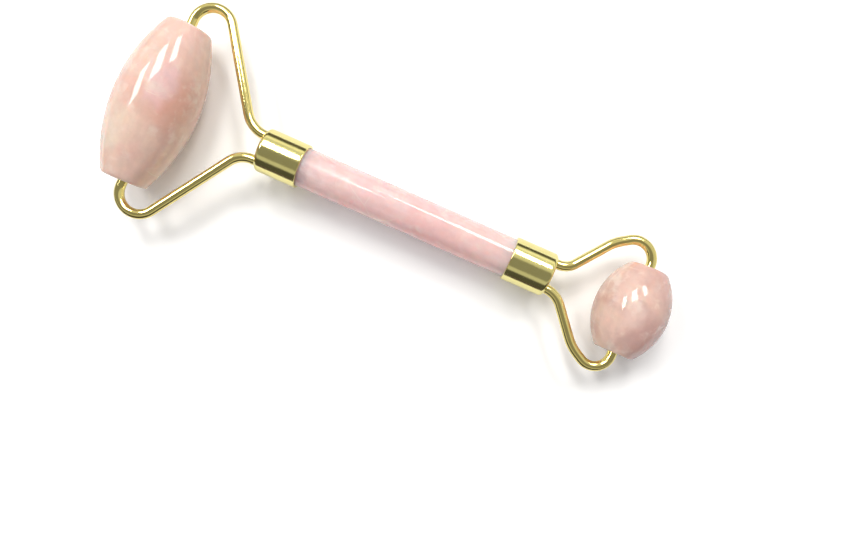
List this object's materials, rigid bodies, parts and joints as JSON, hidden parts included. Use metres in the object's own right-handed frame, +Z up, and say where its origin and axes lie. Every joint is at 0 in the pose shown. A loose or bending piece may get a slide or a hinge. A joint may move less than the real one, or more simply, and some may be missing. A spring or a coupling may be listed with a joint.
{
  "type": "face roller",
  "caption": "Facial massage roller: stone handle with a brass ferrule, a bent wire yoke and a free-turning stone barrel at each end.",
  "frame": {"origin": "middle of the handle, on its axis", "axes": "+X along the handle towards the small roller, +Y along the axes of both rollers, +Z up when it lies on its rollers"},
  "size_m": [0.1453, 0.0565, 0.0202],
  "materials": {
    "handle_stone": "polished",
    "roller_stone": "polished",
    "gold_wire": "polished",
    "gold_cap": "polished",
    "adhesive": "gloss",
    "nylon": "satin"
  },
  "bodies": {
    "frame": {"handle_rod": "handle_stone", "large_ferrule": "gold_cap", "small_ferrule": "gold_cap", "large_adhesive": "adhesive", "small_adhesive": "adhesive", "large_arm_left": "gold_wire", "large_arm_right": "gold_wire", "small_arm_left": "gold_wire", "small_arm_right": "gold_wire"},
    "large_roller": {"large_roller_stone": "roller_stone", "large_bush_left": "nylon", "large_bush_right": "nylon"},
    "small_roller": {"small_roller_stone": "roller_stone", "small_bush_left": "nylon", "small_bush_right": "nylon"}
  },
  "joints": [
    {"name": "large_roller_spin", "type": "hinge", "parent": "frame", "child": "large_roller", "pos_m": [-0.0664, 0, 0], "axis": [0, 1, 0], "continuous": true},
    {"name": "small_roller_spin", "type": "hinge", "parent": "frame", "child": "small_roller", "pos_m": [0.05975, 0, 0], "axis": [0, 1, 0], "continuous": true}
  ]
}
